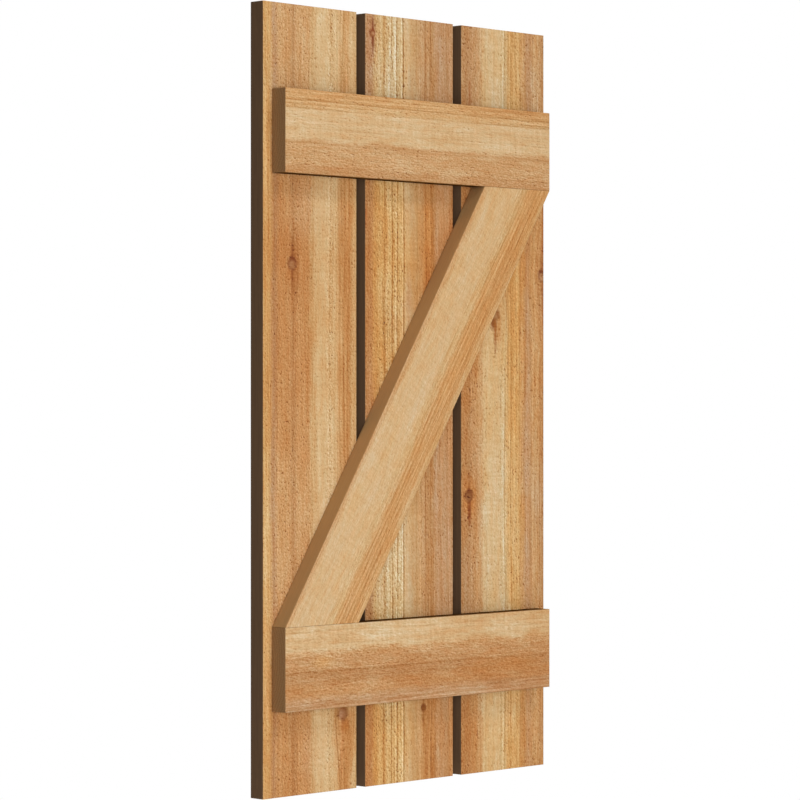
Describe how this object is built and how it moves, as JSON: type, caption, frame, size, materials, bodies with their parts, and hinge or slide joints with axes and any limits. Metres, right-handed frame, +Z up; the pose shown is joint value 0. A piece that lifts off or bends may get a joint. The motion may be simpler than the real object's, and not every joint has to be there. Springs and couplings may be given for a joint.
{
  "type": "board and batten shutter",
  "caption": "Spaced board-and-batten window shutter of rough-sawn cedar: upright boards held by horizontal battens and a diagonal brace, fixed flat to a wall beside a window.",
  "frame": {"origin": "centre of the middle board's back face, on the wall, at half the shutter's height", "axes": "+Z up along the boards, +X to the right seen from the front, +Y into the wall, so the front faces -Y"},
  "size_m": [0.446, 0.0395, 0.8382],
  "materials": {
    "board_cedar": "rough sawn, unfinished",
    "batten_cedar": "rough sawn, unfinished",
    "brace_cedar": "rough sawn, unfinished",
    "screw_steel": "stainless, satin"
  },
  "bodies": {
    "root": {"left_board": "board_cedar", "middle_board": "board_cedar", "right_board": "board_cedar", "top_batten": "batten_cedar", "bottom_batten": "batten_cedar", "diagonal_brace": "brace_cedar"}
  },
  "joints": []
}
